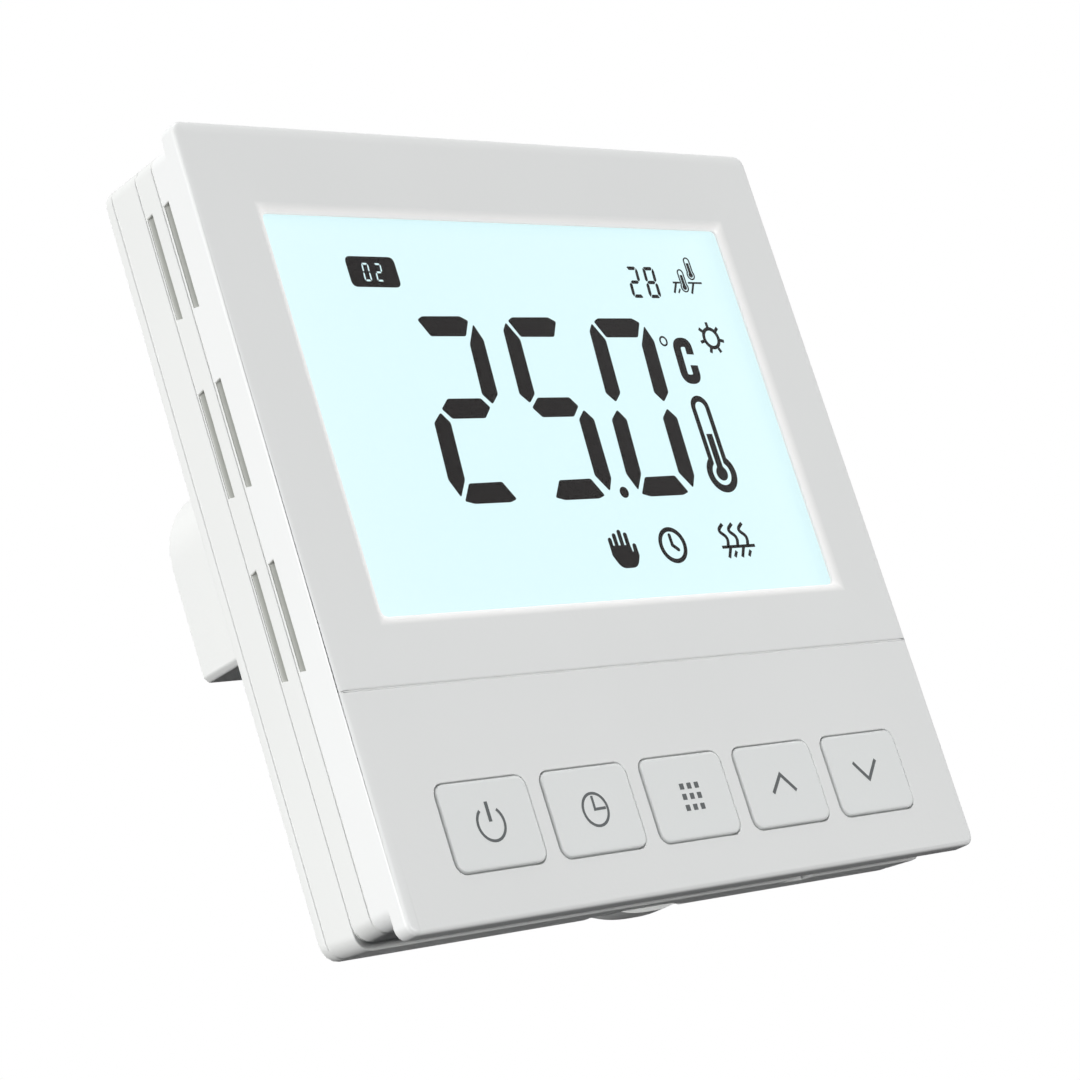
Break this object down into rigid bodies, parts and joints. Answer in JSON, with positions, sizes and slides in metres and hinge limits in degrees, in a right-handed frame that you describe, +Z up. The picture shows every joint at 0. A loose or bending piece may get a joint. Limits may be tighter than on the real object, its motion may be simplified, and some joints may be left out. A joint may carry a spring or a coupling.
{
  "type": "wall thermostat",
  "caption": "Square flush wall thermostat: clip-on front panel with a wide display window and a row of press keys, over a base with a rear box and screw terminals.",
  "frame": {"origin": "centre of the wall plane, where the rear face of the base's flange rests", "axes": "+Y into the wall, +Z up, +X to the right of someone facing the thermostat"},
  "size_m": [0.086, 0.0402, 0.086],
  "materials": {
    "shell": "fine satin, moulded",
    "key_plastic": "fine satin, moulded",
    "window": "clear, polished",
    "display": "positive liquid crystal cell, glossy",
    "light_guide": "clear, polished",
    "white_plastic": "matt",
    "elastomer": "matt",
    "circuit_board": "solder mask, satin",
    "black_plastic": "matt",
    "zinc_steel": "zinc plated",
    "cell_can": "bright",
    "relay_case": "satin",
    "ferrite": "matt, sintered",
    "winding_tape": "taped winding",
    "film_box": "satin",
    "sleeve": "shrunk sleeve",
    "varistor_coat": "epoxy dip",
    "terminal_plastic": "satin, moulded"
  },
  "bodies": {
    "base": {"base_cover": "shell", "base_housing": "shell", "power_board": "circuit_board", "base_socket": "black_plastic", "relay": "relay_case", "film_capacitor": "film_box", "filter_capacitor": "sleeve", "transformer_core": "ferrite", "transformer_bobbin": "winding_tape", "varistor": "varistor_coat", "terminal_block": "terminal_plastic", "terminal_screw_1": "zinc_steel", "terminal_screw_2": "zinc_steel", "terminal_screw_3": "zinc_steel", "terminal_screw_4": "zinc_steel", "terminal_screw_5": "zinc_steel", "terminal_screw_6": "zinc_steel", "base_screw_1": "zinc_steel", "base_screw_2": "zinc_steel", "base_screw_3": "zinc_steel", "base_screw_4": "zinc_steel"},
    "front_panel": {"front_cover": "shell", "display_window": "window", "display_glass": "display", "light_guide": "light_guide", "display_tray": "white_plastic", "backlight_left": "white_plastic", "backlight_right": "white_plastic", "contact_strip": "elastomer", "display_board": "circuit_board", "middle_frame": "shell", "controller_chip": "black_plastic", "cell_holder": "black_plastic", "coin_cell": "cell_can", "air_sensor": "black_plastic", "panel_plug": "black_plastic", "panel_screw_1": "zinc_steel", "panel_screw_2": "zinc_steel", "panel_screw_3": "zinc_steel", "panel_screw_4": "zinc_steel", "switch_power": "black_plastic", "switch_clock": "black_plastic", "switch_menu": "black_plastic", "switch_up": "black_plastic", "switch_down": "black_plastic"},
    "power_key": {"key_power": "key_plastic", "plunger_power": "white_plastic"},
    "clock_key": {"key_clock": "key_plastic", "plunger_clock": "white_plastic"},
    "menu_key": {"key_menu": "key_plastic", "plunger_menu": "white_plastic"},
    "up_key": {"key_up": "key_plastic", "plunger_up": "white_plastic"},
    "down_key": {"key_down": "key_plastic", "plunger_down": "white_plastic"},
    "release_tab": {"release_tab": "shell"}
  },
  "joints": [
    {"name": "panel_pull", "type": "slide", "parent": "base", "child": "front_panel", "axis": [0, -1, 0], "range_m": [0, 0.025]},
    {"name": "power_press", "type": "slide", "parent": "front_panel", "child": "power_key", "axis": [0, 1, 0], "range_m": [0, 0.00035], "stiffness_N_per_m": 2000},
    {"name": "clock_press", "type": "slide", "parent": "front_panel", "child": "clock_key", "axis": [0, 1, 0], "range_m": [0, 0.00035], "stiffness_N_per_m": 2000},
    {"name": "menu_press", "type": "slide", "parent": "front_panel", "child": "menu_key", "axis": [0, 1, 0], "range_m": [0, 0.00035], "stiffness_N_per_m": 2000},
    {"name": "up_press", "type": "slide", "parent": "front_panel", "child": "up_key", "axis": [0, 1, 0], "range_m": [0, 0.00035], "stiffness_N_per_m": 2000},
    {"name": "down_press", "type": "slide", "parent": "front_panel", "child": "down_key", "axis": [0, 1, 0], "range_m": [0, 0.00035], "stiffness_N_per_m": 2000},
    {"name": "tab_press", "type": "slide", "parent": "base", "child": "release_tab", "axis": [0, 0, 1], "range_m": [0, 0.0008], "stiffness_N_per_m": 6000}
  ]
}
